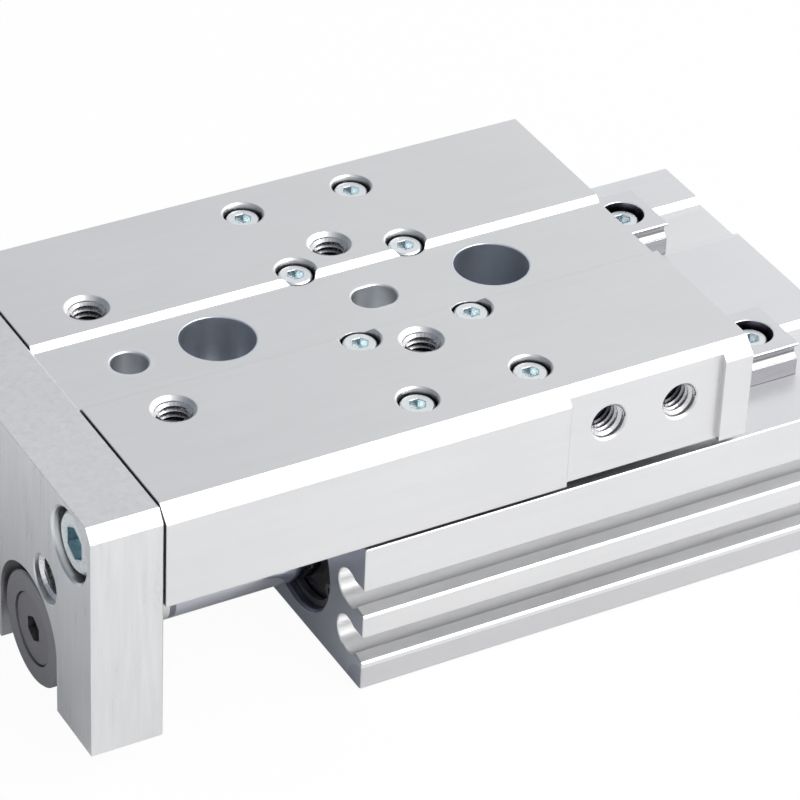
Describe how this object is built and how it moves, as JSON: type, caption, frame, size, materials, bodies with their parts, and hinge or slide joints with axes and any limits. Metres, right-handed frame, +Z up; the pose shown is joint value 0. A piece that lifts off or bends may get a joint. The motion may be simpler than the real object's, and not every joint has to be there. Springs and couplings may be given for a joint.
{
  "type": "pneumatic slide table",
  "caption": "Pneumatic slide table: twin cylinders in a body, recirculating ball guides on top, and a drilled table driven by the rods through an end plate.",
  "frame": {"origin": "middle of the body's bottom face", "axes": "+X to the rear, away from the end plate; +Y to the far side, where the air ports are; +Z up; the table moves along X and stands 33.5 mm out at rest, as pictured"},
  "size_m": [0.1474, 0.077, 0.0465],
  "materials": {
    "anodised": "satin anodised",
    "zinc": "bluish zinc plated",
    "ground_steel": "ground",
    "polished_rod": "hard chromed and polished",
    "black_steel": "black oxide",
    "disc_steel": "dark treated",
    "ball_steel": "polished",
    "cap_plastic": "moulded",
    "seal_rubber": "moulded",
    "bumper": "moulded",
    "magnet": "bonded magnet",
    "wear_plastic": "moulded",
    "cap_aluminium": "turned"
  },
  "bodies": {
    "cylinder_body": {"body": "anodised", "guide_rail_near": "ground_steel", "guide_rail_far": "ground_steel", "rail_screws": "zinc", "rod_cover_near": "cap_aluminium", "rod_cover_far": "cap_aluminium", "head_cap_near": "cap_aluminium", "head_cap_far": "cap_aluminium", "rod_wipers": "seal_rubber", "front_bumpers": "bumper", "rear_bumpers": "bumper", "o_rings": "seal_rubber", "front_retaining_rings": "black_steel", "rear_retaining_rings": "black_steel"},
    "slide_table": {"table": "anodised", "end_plate": "anodised", "carriage_screws": "zinc", "end_plate_screws": "zinc", "carriage_block_near": "ground_steel", "carriage_block_far": "ground_steel", "carriage_caps_near": "cap_plastic", "carriage_caps_far": "cap_plastic", "carriage_seals_near": "seal_rubber", "carriage_seals_far": "seal_rubber", "bearing_balls_near": "ball_steel", "bearing_balls_far": "ball_steel", "carriage_cap_screws": "zinc", "piston_rod_near": "polished_rod", "piston_rod_far": "polished_rod", "piston_near": "cap_aluminium", "piston_far": "cap_aluminium", "rod_disc_near": "disc_steel", "rod_disc_far": "disc_steel", "rod_washers": "black_steel", "rod_screws": "black_steel", "piston_seals": "seal_rubber", "piston_magnets": "magnet", "wear_rings": "wear_plastic", "piston_nuts": "zinc"}
  },
  "joints": [
    {"name": "table_slide", "type": "slide", "parent": "cylinder_body", "child": "slide_table", "axis": [-1, 0, 0], "range_m": [-0.0335, 0.0065]}
  ]
}
